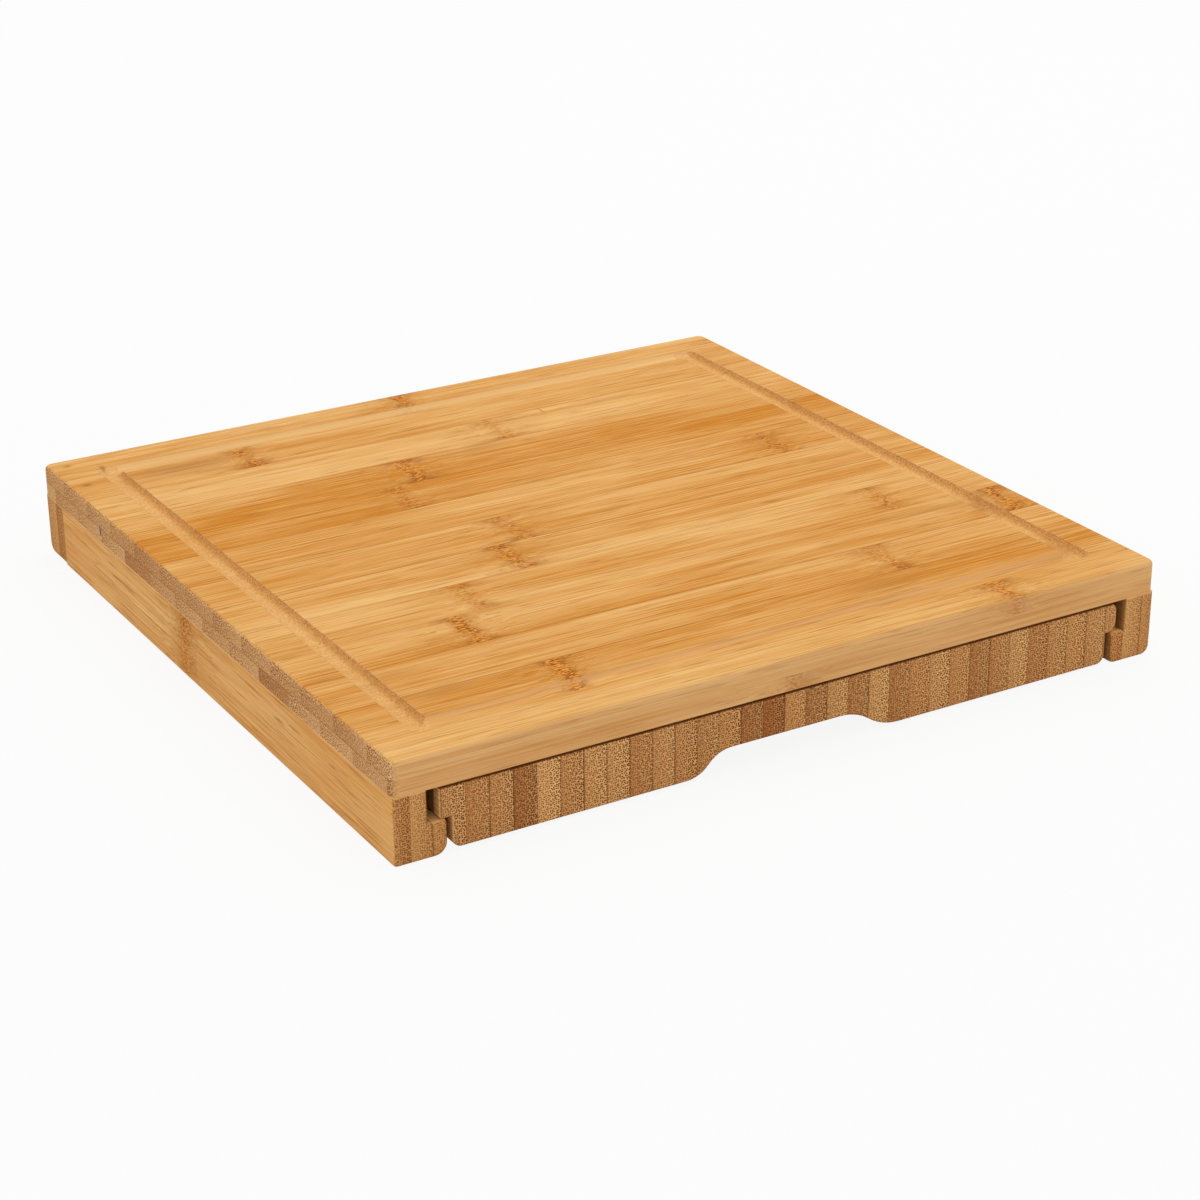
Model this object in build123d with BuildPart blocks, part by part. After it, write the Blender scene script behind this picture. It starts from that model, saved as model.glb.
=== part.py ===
"""Bamboo cutting board with a slide-out drawer of tray compartments.

A laminated top with a juice groove stands on three rails.  The two side
rails are L-shaped, and a T-shaped slab drawer hangs from its flanges on
their ledges.  Four trays are milled in the drawer.  Millimetres, +Z up:
the front is -Y, and the origin is on the table under the board's centre.
"""

import os

from build123d import *

os.makedirs("parts", exist_ok=True)

# ---------------------------------------------------------------- driving dimensions

# top board
board_width = 330.0
board_depth = 325.0
board_thickness = 13.0
board_corner_r = 3.5
board_edge_r = 1.8

# juice groove, cut by a round-nosed cutter that follows a rectangle
groove_inset = 21.5
groove_width = 9.0
groove_depth = 2.5
groove_lip_r = 0.5

# side rails: a wall that carries the top, and a ledge that carries the drawer
rail_height = 26.5
left_wall_thickness = 13.2
right_wall_thickness = 14.4
ledge_reach = 20.5
ledge_height = 13.2
left_foot_r = 1.2
right_foot_r = 4.0
left_ledge_foot_r = 4.8
right_ledge_foot_r = 3.5
ledge_edge_r = 1.5
rail_end_r = 1.8

# rear rail, the drawer's stop, right across behind the side rails
rear_rail_thickness = 20.0
rear_foot_r = 5.0
rear_rail_end_r = 2.5

# drawer slab: flanges above, body below, all in one T-shaped section
flange_width = 294.6
body_width = 285.0
drawer_top = 25.5
drawer_bottom = 1.1
flange_clearance = 0.3
drawer_setback = 0.5
drawer_stop_gap = 0.5
left_flange_edge_r = 1.2
right_flange_edge_r = 3.2
body_edge_r = 3.6
drawer_front_r = 1.0
drawer_rear_chamfer = 1.0

# finger recess, cut up into the drawer's lower front edge between two S-curves:
# a little left of the middle, its left end steeper than its right
recess_left = -29.6
recess_right = 17.8
recess_left_curve = 19.0
recess_right_curve = 26.5
recess_rise = 8.7
recess_reach = 22.0
recess_back_r = 5.0

# tray compartments milled in the drawer
tray_floor = 6.2
tray_side_wall = 14.0
tray_front_wall = 30.0
tray_rear_wall = 14.0
tray_partition = 9.0
knife_tray_width = 62.0
front_tray_length = 126.0
tray_corner_r = 9.0
tray_lip = 0.6

# pan-head wood screws, driven up through the rails into the top
screw_r = 1.75
screw_length = 25.5
screw_point = 3.0
screw_head_r = 3.75
screw_head_height = 2.4
screw_slot_width = 1.1
screw_slot_length = 4.6
screw_slot_depth = 1.4
screw_hole_r = 2.2
counterbore_r = 4.25
counterbore_depth = 10.0
pilot_depth = 9.5
screw_inset = 8.0
side_screw_spacing = 210.0
rear_screw_spacing = 240.0

# closure magnets, one pair in the rear rail and one in the drawer's back
magnet_r = 4.0
magnet_thickness = 3.0
magnet_glue_gap = 0.1
magnet_spacing = 200.0
magnet_height = 15.0

# ---------------------------------------------------------------- worked-out places

board_top = rail_height + board_thickness
front = -board_depth / 2
rear = board_depth / 2
rear_rail_front = rear - rear_rail_thickness
rail_length = rear_rail_front - front

drawer_front = front + drawer_setback
drawer_rear = rear_rail_front - drawer_stop_gap
drawer_length = drawer_rear - drawer_front
flange_bottom = ledge_height + flange_clearance

front_plane = Plane.XZ.offset(-front)

rail_mid = (front + rear_rail_front) / 2
side_screw_x = board_width / 2 - screw_inset
side_screw_ys = [rail_mid + step * side_screw_spacing / 2 for step in (-1, 1)]
left_screws = [(-side_screw_x, y) for y in side_screw_ys]
right_screws = [(side_screw_x, y) for y in side_screw_ys]
rear_screw_y = rear - rear_rail_thickness / 2
rear_screws = [(step * rear_screw_spacing / 2, rear_screw_y) for step in (-1, 1)]
all_screws = left_screws + right_screws + rear_screws

magnet_xs = (-magnet_spacing / 2, magnet_spacing / 2)


# ---------------------------------------------------------------- top board

# the cutter's nose radius that leaves this width and depth in the face
groove_nose_r = (groove_width**2 / 4 + groove_depth**2) / (2 * groove_depth)
groove_axis_z = board_top - groove_depth + groove_nose_r
groove_x = board_width / 2 - groove_inset
groove_y = board_depth / 2 - groove_inset

with BuildPart() as top_board:
    with BuildSketch(Plane.XY.offset(rail_height)):
        RectangleRounded(board_width, board_depth, board_corner_r)
    extrude(amount=board_thickness)
    fillet(top_board.faces().sort_by(Axis.Z)[-1].edges(), board_edge_r)

    # the four straight cuts
    with Locations((0, -groove_y, groove_axis_z), (0, groove_y, groove_axis_z)):
        Cylinder(groove_nose_r, 2 * groove_x, rotation=(0, 90, 0), mode=Mode.SUBTRACT)
    with Locations((-groove_x, 0, groove_axis_z), (groove_x, 0, groove_axis_z)):
        Cylinder(groove_nose_r, 2 * groove_y, rotation=(90, 0, 0), mode=Mode.SUBTRACT)
    # the cutter's nose where it turns: round outside, sharp at the island's corner
    with Locations((0, 0, groove_axis_z)):
        with GridLocations(2 * groove_x, 2 * groove_y, 2, 2):
            Sphere(groove_nose_r, mode=Mode.SUBTRACT)
    # both lips of the groove: the face's inner outline, and the island's outline
    worktop = top_board.faces().filter_by_position(Axis.Z, board_top - 0.01, board_top + 0.01)
    border, island = worktop.sort_by(SortBy.AREA)
    fillet([edge for wire in border.inner_wires() for edge in wire.edges()] + island.edges(), groove_lip_r)

    # pilot holes for the rail screws
    with BuildSketch(Plane.XY.offset(rail_height)):
        with Locations(*all_screws):
            Circle(screw_r)
    extrude(amount=pilot_depth, mode=Mode.SUBTRACT)

top_board.part.label = "top_board"


# ---------------------------------------------------------------- side rails


def counterbored_holes(places):
    """Cut a screw's clearance hole and its counterbore up from the rail's foot."""
    with Locations(*[Location((x, y, 0), (180, 0, 0)) for x, y in places]):
        CounterBoreHole(screw_hole_r, counterbore_r, counterbore_depth, rail_height)


def side_rail(wall_thickness, foot_r, ledge_foot_r):
    """Draw the left rail: its wall's thickness, and the radii outside and inside its foot."""
    outer = -board_width / 2
    with BuildPart() as rail:
        with BuildSketch(front_plane) as section:
            with BuildLine():
                Polyline(
                    (outer, 0),
                    (outer, rail_height),
                    (outer + wall_thickness, rail_height),
                    (outer + wall_thickness, ledge_height),
                    (outer + ledge_reach, ledge_height),
                    (outer + ledge_reach, 0),
                    close=True,
                )
            make_face()
            fillet(section.vertices().group_by(Axis.Y)[0].sort_by(Axis.X)[0], foot_r)
            fillet(section.vertices().group_by(Axis.X)[-1].sort_by(Axis.Y)[0], ledge_foot_r)
            fillet(section.vertices().group_by(Axis.X)[-1].sort_by(Axis.Y)[-1], ledge_edge_r)
        extrude(amount=-rail_length)
        # the front end is softened all round, except along the glue line under the top
        fillet(rail.faces().sort_by(Axis.Y)[0].edges().sort_by(Axis.Z)[:-1], rail_end_r)
        counterbored_holes(left_screws)
    return rail


left_rail = side_rail(left_wall_thickness, left_foot_r, left_ledge_foot_r)
left_rail.part.label = "left_rail"

# the right rail is the mirror image of one with a thicker wall and its own foot
thicker_rail = side_rail(right_wall_thickness, right_foot_r, right_ledge_foot_r)

with BuildPart() as right_rail:
    mirror(thicker_rail.part, about=Plane.YZ)

right_rail.part.label = "right_rail"


# ---------------------------------------------------------------- rear rail

with BuildPart() as rear_rail:
    with BuildSketch(Plane.YZ.offset(-board_width / 2)) as rear_section:
        with Locations((rear, 0)):
            Rectangle(rear_rail_thickness, rail_height, align=(Align.MAX, Align.MIN))
        fillet(rear_section.vertices().group_by(Axis.Y)[0].sort_by(Axis.X)[-1], rear_foot_r)
    extrude(amount=board_width)
    # both ends are softened at the back and under the foot
    for end_face in (rear_rail.faces().sort_by(Axis.X)[0], rear_rail.faces().sort_by(Axis.X)[-1]):
        end_edges = end_face.edges().sort_by(Axis.Z)[:-1]
        fillet(end_edges.sort_by(Axis.Y)[1:], rear_rail_end_r)
    counterbored_holes(rear_screws)

    # blind bores for the closure magnets
    with BuildSketch(Plane.XZ.offset(-rear_rail_front)):
        with Locations(*[(x, magnet_height) for x in magnet_xs]):
            Circle(magnet_r + magnet_glue_gap)
    extrude(amount=-magnet_thickness, mode=Mode.SUBTRACT)

rear_rail.part.label = "rear_rail"


# ---------------------------------------------------------------- drawer

drawer_plane = Plane.XZ.offset(-drawer_front)
recess_top = drawer_bottom + recess_rise
recess_mid_height = drawer_bottom + recess_rise / 2

tray_left = -body_width / 2 + tray_side_wall
tray_right = body_width / 2 - tray_side_wall
tray_front = drawer_front + tray_front_wall
tray_rear = drawer_rear - tray_rear_wall
wide_left = tray_left + knife_tray_width + tray_partition
wide_width = tray_right - wide_left
small_width = (wide_width - tray_partition) / 2
small_front = tray_front + front_tray_length + tray_partition

# each tray as its lower left corner in plan, its width and its length
trays = [
    (tray_left, tray_front, knife_tray_width, tray_rear - tray_front),
    (wide_left, tray_front, wide_width, front_tray_length),
    (wide_left, small_front, small_width, tray_rear - small_front),
    (tray_right - small_width, small_front, small_width, tray_rear - small_front),
]
tray_bottom = drawer_bottom + tray_floor

# the space of the finger recess: across, an S of two equal arcs at each end, level where
# it starts and stops; along the drawer, a level roof that curves down into the back
with BuildPart() as finger_recess:
    with BuildSketch(drawer_plane):
        with BuildLine():
            left_lower = TangentArc(
                (recess_left - recess_left_curve, drawer_bottom),
                (recess_left - recess_left_curve / 2, recess_mid_height),
                tangent=(1, 0),
            )
            left_upper = TangentArc(left_lower @ 1, (recess_left, recess_top), tangent=left_lower % 1)
            roof = Line(left_upper @ 1, (recess_right, recess_top))
            right_upper = TangentArc(
                roof @ 1, (recess_right + recess_right_curve / 2, recess_mid_height), tangent=(1, 0)
            )
            right_lower = TangentArc(
                right_upper @ 1,
                (recess_right + recess_right_curve, drawer_bottom),
                tangent=right_upper % 1,
            )
            Line(right_lower @ 1, left_lower @ 0)
        make_face()
    extrude(amount=-recess_reach)
    with BuildSketch(Plane.YZ) as recess_roof:
        with Locations((drawer_front, drawer_bottom)):
            Rectangle(recess_reach, recess_rise, align=(Align.MIN, Align.MIN))
        fillet(recess_roof.vertices().group_by(Axis.X)[-1].sort_by(Axis.Y)[-1], recess_back_r)
    extrude(amount=body_width / 2, both=True, mode=Mode.INTERSECT)

with BuildPart() as drawer:
    with BuildSketch(drawer_plane) as drawer_section:
        with Locations((0, flange_bottom)):
            Rectangle(flange_width, drawer_top - flange_bottom, align=(Align.CENTER, Align.MIN))
        fillet(drawer_section.vertices().group_by(Axis.X)[0], left_flange_edge_r)
        fillet(drawer_section.vertices().group_by(Axis.X)[-1], right_flange_edge_r)
        with Locations((0, drawer_bottom)):
            Rectangle(body_width, drawer_top - drawer_bottom, align=(Align.CENTER, Align.MIN))
        fillet(drawer_section.vertices().group_by(Axis.Y)[0], body_edge_r)
    extrude(amount=-drawer_length)

    add(finger_recess.part, mode=Mode.SUBTRACT)

    # the front is softened all round, along the recess too, and the back is broken
    fillet(drawer.faces().sort_by(Axis.Y)[0].edges(), drawer_front_r)
    chamfer(drawer.faces().sort_by(Axis.Y)[-1].edges(), drawer_rear_chamfer)

    # tray compartments
    with BuildSketch(Plane.XY.offset(drawer_top)):
        for x, y, width, length in trays:
            with Locations((x + width / 2, y + length / 2)):
                RectangleRounded(width, length, tray_corner_r)
    extrude(amount=-(drawer_top - tray_bottom), mode=Mode.SUBTRACT)
    drawer_face = drawer.faces().sort_by(Axis.Z)[-1]
    chamfer([edge for wire in drawer_face.inner_wires() for edge in wire.edges()], tray_lip)

    # blind bores for the closure magnets
    with BuildSketch(Plane.XZ.offset(-drawer_rear)):
        with Locations(*[(x, magnet_height) for x in magnet_xs]):
            Circle(magnet_r + magnet_glue_gap)
    extrude(amount=magnet_thickness, mode=Mode.SUBTRACT)

drawer.part.label = "drawer"


# ---------------------------------------------------------------- screws


def screw_group(places):
    """Turn one pan-head wood screw about its axis and stand a copy in each hole."""
    seat = counterbore_depth
    with BuildPart(mode=Mode.PRIVATE) as screw:
        with BuildSketch(Plane.XZ):
            with BuildLine():
                Polyline(
                    (0, seat - screw_head_height),
                    (screw_head_r, seat - screw_head_height),
                    (screw_head_r, seat),
                    (screw_r, seat),
                    (screw_r, seat + screw_length - screw_point),
                    (0, seat + screw_length),
                    close=True,
                )
            make_face()
        revolve(axis=Axis.Z)
        with BuildSketch(Plane.XY.offset(seat - screw_head_height)):
            Rectangle(screw_slot_length, screw_slot_width)
            Rectangle(screw_slot_width, screw_slot_length)
        extrude(amount=screw_slot_depth, mode=Mode.SUBTRACT)
    with BuildPart() as group:
        with Locations(*[(x, y, 0) for x, y in places]):
            add(screw.part)
    return group


for name, places in (
    ("left_rail_screws", left_screws),
    ("right_rail_screws", right_screws),
    ("rear_rail_screws", rear_screws),
):
    screws = screw_group(places)
    screws.part.label = name
    export_step(screws.part, f"parts/{name}.step")


# ---------------------------------------------------------------- closure magnets

with BuildPart() as rear_rail_magnets:
    with BuildSketch(Plane.XZ.offset(-rear_rail_front)):
        with Locations(*[(x, magnet_height) for x in magnet_xs]):
            Circle(magnet_r)
    extrude(amount=-magnet_thickness)

rear_rail_magnets.part.label = "rear_rail_magnets"

with BuildPart() as drawer_magnets:
    with BuildSketch(Plane.XZ.offset(-drawer_rear)):
        with Locations(*[(x, magnet_height) for x in magnet_xs]):
            Circle(magnet_r)
    extrude(amount=magnet_thickness)

drawer_magnets.part.label = "drawer_magnets"


# ---------------------------------------------------------------- one STEP file for each piece

export_step(top_board.part, "parts/top_board.step")
export_step(left_rail.part, "parts/left_rail.step")
export_step(right_rail.part, "parts/right_rail.step")
export_step(rear_rail.part, "parts/rear_rail.step")
export_step(drawer.part, "parts/drawer.step")
export_step(rear_rail_magnets.part, "parts/rear_rail_magnets.step")
export_step(drawer_magnets.part, "parts/drawer_magnets.step")
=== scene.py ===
# %% [markdown]
# # A bamboo cutting board with a drawer
#
# The board stands on three rails, and a slab drawer with milled trays slides out at the front.
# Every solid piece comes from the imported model, at its real size. What is left to make here is
# how bamboo looks: glued strips, long fibres on the faces, the dots of the vessels where a
# strip is cut across, and the rough band that each ring of the cane leaves in a strip.
#
# Bamboo is a solid material, so its finish is a solid pattern too. The shaders work out what
# lies at a point from the point's place in millimetres along the grain, across it and deep
# into it. The same pattern then runs on over a rounded edge and down into the juice groove,
# as it does in the real thing, and no picture has to be wrapped around anything.

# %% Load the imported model, and note its size
import math

import bpy
from mathutils import Matrix, Vector


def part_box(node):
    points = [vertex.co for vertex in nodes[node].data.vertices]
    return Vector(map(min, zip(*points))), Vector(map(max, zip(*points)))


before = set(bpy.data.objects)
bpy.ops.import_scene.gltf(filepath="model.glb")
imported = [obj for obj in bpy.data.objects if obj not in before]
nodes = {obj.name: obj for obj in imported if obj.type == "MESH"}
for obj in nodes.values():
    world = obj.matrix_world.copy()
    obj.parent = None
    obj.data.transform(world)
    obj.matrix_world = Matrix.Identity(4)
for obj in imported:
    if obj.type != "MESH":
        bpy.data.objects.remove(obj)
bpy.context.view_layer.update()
for name, node in sorted(nodes.items()):
    print(name, "is", [round(1000 * side, 1) for side in node.dimensions], "mm")

# %% [markdown]
# ## The camera
#
# The picture to match is taken from the front left, a little over a metre away, with a long
# lens. The place and the angles below were worked out from the board's straight edges. Yaw
# turns the look from straight ahead to the right, pitch tips it down, and roll tilts it.

# %% Where the camera looks
camera_place = Vector((-0.5223, -0.9020, 0.4590))
camera_yaw = math.radians(30.63)
camera_pitch = math.radians(23.78)
camera_roll = math.radians(-0.37)

ahead = math.cos(camera_pitch)
down = math.sin(camera_pitch)
forward = Vector((math.sin(camera_yaw) * ahead, math.cos(camera_yaw) * ahead, -down))
level = Vector((math.cos(camera_yaw), -math.sin(camera_yaw), 0))
upright = level.cross(forward)
right = level * math.cos(camera_roll) + upright * math.sin(camera_roll)
up = upright * math.cos(camera_roll) - level * math.sin(camera_roll)
print("the camera looks along", [round(part, 3) for part in forward])

# %% [markdown]
# A camera looks along its own -Z with +Y up. So its matrix is built from the three directions
# right, up and back, and no constraint has to aim it.

# %% The camera itself
camera_lens = 83.43
sensor_width = 36.0

camera_data = bpy.data.cameras.new("camera")
camera_data.sensor_width = sensor_width
camera_data.lens = camera_lens
camera = bpy.data.objects.new("camera", camera_data)
turn = Matrix((right, up, -forward)).transposed().to_4x4()
camera.matrix_world = Matrix.Translation(camera_place) @ turn
bpy.context.scene.collection.objects.link(camera)
bpy.context.scene.camera = camera
print("it stands", round(camera_place.length, 2), "m from the middle of the board's foot")

# %% [markdown]
# ## Helpers for node trees
#
# A shader is a small flow chart. Written out by hand it takes four lines a node, so a few
# helpers shorten that. The first one sets a socket or links it, and the second adds a node,
# sets its options and feeds its inputs.

# %% Add a node and feed it
def feed(tree, socket, value):
    """Set a socket to a value, or link another node's output to it."""
    if isinstance(value, bpy.types.NodeSocket):
        tree.links.new(value, socket)
    else:
        socket.default_value = value


def add(tree, kind, feeds=None, **settings):
    """Add a node, set its options, and feed its inputs."""
    node = tree.nodes.new(kind)
    for option, value in settings.items():
        setattr(node, option, value)
    for key, value in (feeds or {}).items():
        feed(tree, node.inputs[key], value)
    return node


print("helpers: feed and add")

# %% [markdown]
# Colours are easiest to judge as a photograph gives them, from 0 to 255. Shaders reckon in
# linear light, where half the light is half the number, so every colour is converted first,
# by the curve that screens use.

# %% Colours
def colour(red, green, blue):
    """A colour as a photograph gives it, 0 to 255, as the linear light that shaders use."""
    return (*[((part / 255 + 0.055) / 1.055) ** 2.4 for part in (red, green, blue)], 1.0)


print("a grey of 128 is", round(colour(128, 128, 128)[0], 3), "in linear light")

# %% [markdown]
# Patterns are built from numbers that change from point to point. Math nodes add and multiply
# them, one number or one vector at a time. Products come up so often, because a mark has to
# keep to several limits at once, that they get a helper of their own.

# %% Sums
def maths(tree, operation, *values, clamp=False):
    """The output of one Math node."""
    feeds = dict(enumerate(values))
    return add(tree, "ShaderNodeMath", feeds, operation=operation, use_clamp=clamp).outputs[0]


def times(tree, first, *others):
    """The product of these numbers."""
    for other in others:
        first = maths(tree, "MULTIPLY", first, other)
    return first


def vectors(tree, operation, *values):
    """The vector output of one Vector Math node."""
    feeds = dict(enumerate(values))
    return add(tree, "ShaderNodeVectorMath", feeds, operation=operation).outputs[0]


print("helpers: maths, times and vectors")

# %% [markdown]
# A mask says from 0 to 1 how much of something shows. Ramps cut one out of a number, with a
# soft shoulder at each end, and a bell curve fades one out with distance.

# %% Masks
def ramp(tree, value, start, end, low=0.0, high=1.0, smooth=True):
    """Map start..end to low..high, level outside, with soft shoulders if smooth."""
    feeds = {"Value": value, "From Min": start, "From Max": end, "To Min": low, "To Max": high}
    kind = "SMOOTHSTEP" if smooth else "LINEAR"
    return add(tree, "ShaderNodeMapRange", feeds, interpolation_type=kind).outputs[0]


def near(tree, value, centre, channel_shade, painted_sides):
    """1 within inner of the centre, falling to 0 at outer."""
    away = maths(tree, "ABSOLUTE", maths(tree, "SUBTRACT", value, centre))
    return ramp(tree, away, painted_sides, channel_shade)


def bell(tree, distance, half_width):
    """1 at distance 0, falling along a bell curve to 0.37 at half_width."""
    ratio = maths(tree, "DIVIDE", distance, half_width)
    return maths(tree, "EXPONENT", times(tree, ratio, ratio, -1.0))


print("at twice its half width a bell curve is down to", round(math.exp(-4), 3))

# %% [markdown]
# Wood is never even. Stretched noise gives it fibres, and white noise gives a whole strip one
# number by chance, the same one each time.

# %% Mixes, noise and chance
def mix(tree, share, first, second):
    """The second colour over the first, by this share: the node's sockets 7, 6 and 0."""
    node = add(tree, "ShaderNodeMix", data_type="RGBA")
    for number, value in ((0, share), (6, first), (7, second)):
        feed(tree, node.inputs[number], value)
    return node.outputs[2]


def noise(tree, vector, cells, detail=2.0, roughness=0.5):
    """Noise, 0.5 on average and seldom outside 0.3 to 0.7, with this many cells a millimetre."""
    feeds = {"Vector": vectors(tree, "MULTIPLY", vector, cells), "Scale": 1.0}
    feeds.update({"Detail": detail, "Roughness": roughness})
    return add(tree, "ShaderNodeTexNoise", feeds).outputs[0]


def chance(tree, number):
    """A number from 0 to 1 that looks random, the same each time for the same number."""
    return add(tree, "ShaderNodeTexWhiteNoise", {"W": number}, noise_dimensions="1D").outputs[0]


print("helpers: mix, noise and chance")

# %% [markdown]
# The board, its rails and the drawer are all bamboo, so they share their patterns. A node
# group is such a shared pattern: it is built once and placed in each material with its own
# values. It puts out masks and colours, and the shader itself stays in the material.

# %% A group with named inputs and outputs
def open_group(name, inputs, outputs):
    """Start a shader group; return its tree, the sockets that its inputs give, and its end."""
    tree = bpy.data.node_groups.new(name, "ShaderNodeTree")
    for direction, sockets in (("INPUT", inputs), ("OUTPUT", outputs)):
        for label, kind in sockets:
            kind = "NodeSocket" + kind
            tree.interface.new_socket(name=label, in_out=direction, socket_type=kind)
    start = tree.nodes.new("NodeGroupInput")
    end = tree.nodes.new("NodeGroupOutput")
    print("group", name, "takes", len(inputs), "and gives", len(outputs))
    return tree, start.outputs, end


def close_group(tree, end, results):
    """Lead the results to the group's outputs."""
    for label, socket in results.items():
        tree.links.new(socket, end.inputs[label])
    print("group", tree.name, "has", len(tree.nodes), "nodes")
    return tree


def use(tree, group, feeds):
    """Place a group in a tree, feed it, and return its outputs."""
    node = add(tree, "ShaderNodeGroup", node_tree=group)
    for label, value in feeds.items():
        feed(tree, node.inputs[label], value)
    return node.outputs


def numbers(*labels):
    """Sockets with these names, each for a number."""
    return [(label, "Float") for label in labels]


print("helpers: open_group, close_group, use and numbers")

# %% [markdown]
# ## Glued strips
#
# Cane is split into strips, planed square and glued side by side. Across the grain, the place
# of a point divided by the strip's width gives two numbers: the whole part says which strip it
# is in, and the fraction says where in that strip. Near 0 or 1 the point is at a glue joint.
# Some joints are tight and hardly show, so each gets a strength of its own by chance.

# %% The strips group
glue_half_width = 0.5
least_glue = 0.2

inputs = numbers("Across", "Width", "First joint")
tree, given, end = open_group("strips", inputs, numbers("Strip", "Place", "Glue line"))
from_first = maths(tree, "SUBTRACT", given["Across"], given["First joint"])
count = maths(tree, "DIVIDE", from_first, given["Width"])
place = maths(tree, "FRACT", count)
from_middle = maths(tree, "ABSOLUTE", maths(tree, "SUBTRACT", place, 0.5))
to_joint = times(tree, maths(tree, "SUBTRACT", 0.5, from_middle), given["Width"])
strength = ramp(tree, chance(tree, maths(tree, "ROUND", count)), 0.0, 1.0, least_glue, 1.0)
glue_line = times(tree, ramp(tree, to_joint, glue_half_width, 0.0), strength)
results = {"Strip": maths(tree, "FLOOR", count), "Place": place, "Glue line": glue_line}
strips_group = close_group(tree, end, results)

# %% [markdown]
# ## Rings of the cane
#
# Cane has a ring every 20 to 30 cm. Planed away, it leaves a band across the strip about 8 mm
# wide, which leans a little and wavers. A long strip can hold two rings, so the group takes
# two places and goes by the nearer one. First it works out how far away that one is.

# %% How far the nearer ring is
ring_lean = -1.5
ring_wobble = 9.0
wobble_cells = (0.2, 0.2, 0.2)

inputs = [("Grain", "Vector"), *numbers("Place", "Ring", "Next ring", "Strength", "Reach")]
outputs = numbers("Band", "Specks", "Smear", "Halo", "Bend")
tree, given, end = open_group("cane_ring", inputs, outputs)
grain = given["Grain"]
at = add(tree, "ShaderNodeSeparateXYZ", {0: grain}).outputs["X"]
from_middle = maths(tree, "SUBTRACT", given["Place"], 0.5)
at = maths(tree, "MULTIPLY_ADD", from_middle, ring_lean, at)
waver = maths(tree, "SUBTRACT", noise(tree, grain, wobble_cells), 0.5)
at = maths(tree, "MULTIPLY_ADD", waver, ring_wobble, at)
gap = maths(tree, "ABSOLUTE", maths(tree, "SUBTRACT", at, given["Ring"]))
next_gap = maths(tree, "ABSOLUTE", maths(tree, "SUBTRACT", at, given["Next ring"]))
gap = maths(tree, "DIVIDE", maths(tree, "MINIMUM", gap, next_gap), given["Reach"])
print("a ring leans", -ring_lean, "mm over a strip")

# %% [markdown]
# In the band the fibres break up into short light and dark specks. Brown smears lie at the
# strip's two edges, the wood is duller on both sides, and fibres bend round the ring. Each of
# these fades with the distance from the ring along a bell curve of its own width, and noise
# breaks it up, because no two rings of the real board look alike.

# %% What the ring does at that distance
band_reach = 4.2
smear_reach = 7.5
halo_reach = 22.0
bend_reach = 14.0
most_bend = 7.0
least_band = 0.7
edge_of_strip = (0.1, 0.5)
patch_cells, patch_range = (0.07, 0.1, 0.1), (0.4, 0.58)
cloud_cells, cloud_range = (0.02, 0.1, 0.1), (0.38, 0.62)
sway_cells = (0.06, 0.16, 0.16)
speck_noise, speck_range = ((0.45, 1.6, 1.6), 2.0, 0.6), (0.46, 0.55)

edge = ramp(tree, maths(tree, "ABSOLUTE", from_middle), *edge_of_strip)
patchy = ramp(tree, noise(tree, grain, patch_cells), *patch_range)
smear = times(tree, bell(tree, gap, smear_reach), edge, patchy)
cloudy = ramp(tree, noise(tree, grain, cloud_cells), *cloud_range)
halo = times(tree, bell(tree, gap, halo_reach), cloudy)
sway = maths(tree, "SUBTRACT", noise(tree, grain, sway_cells), 0.5)
bend = times(tree, bell(tree, gap, bend_reach), sway, most_bend)
unbroken = ramp(tree, patchy, 0.0, 1.0, least_band, 1.0)
band = times(tree, bell(tree, gap, band_reach), unbroken)
results = {"Specks": ramp(tree, noise(tree, grain, *speck_noise), *speck_range)}
for label, effect in (("Band", band), ("Smear", smear), ("Halo", halo), ("Bend", bend)):
    results[label] = times(tree, effect, given["Strength"])
cane_ring_group = close_group(tree, end, results)

# %% [markdown]
# ## Long fibres
#
# Along a strip the wood is drawn out into clouds, bands, streaks, hairlines and pale flecks.
# Noise stretched along the grain gives each of them: its cells are up to a hundred times
# longer than they are wide. The strip's number moves the pattern, so that no two strips
# match, and the bend from a cane ring shifts it sideways.

# %% The fibres group
strip_shift = (311.0, 47.0, 19.0)
sideways = (0.0, 1.0, 1.0)
noise_range = (0.35, 0.65)
drawn_out = {
    "Clouds": ((0.013, 0.05, 0.05), 2.0, 0.5),
    "Bands": ((0.004, 0.16, 0.16), 2.0, 0.5),
    "Streaks": ((0.012, 1.4, 1.4), 3.0, 0.7),
}

inputs = [("Grain", "Vector"), *numbers("Strip", "Bend")]
fibre_masks = (*drawn_out, "Hairs", "Flecks")
tree, given, end = open_group("fibres", inputs, numbers(*fibre_masks))
moved = vectors(tree, "MULTIPLY_ADD", given["Strip"], strip_shift, given["Grain"])
moved = vectors(tree, "MULTIPLY_ADD", given["Bend"], sideways, moved)
results = {}
for label, settings in drawn_out.items():
    results[label] = ramp(tree, noise(tree, moved, *settings), *noise_range, smooth=False)
    long_cells, wide_cells, _ = settings[0]
    print(label, "are", round(wide_cells / long_cells), "times as long as they are wide")

# %% [markdown]
# A hairline lies where the noise passes through its middle value, which makes it thin and
# sharp, and a second noise breaks it up. Only the peaks of a third noise become flecks.

# %% Hairlines and flecks
hair_noise, hair_width = ((0.014, 1.0, 1.0), 1.0), 0.042
broken_noise, broken_range = ((0.05, 0.7, 0.7), 1.0), (0.4, 0.6)
fleck_noise, fleck_range = ((0.035, 2.2, 2.2), 1.0), (0.56, 0.72)

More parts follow.
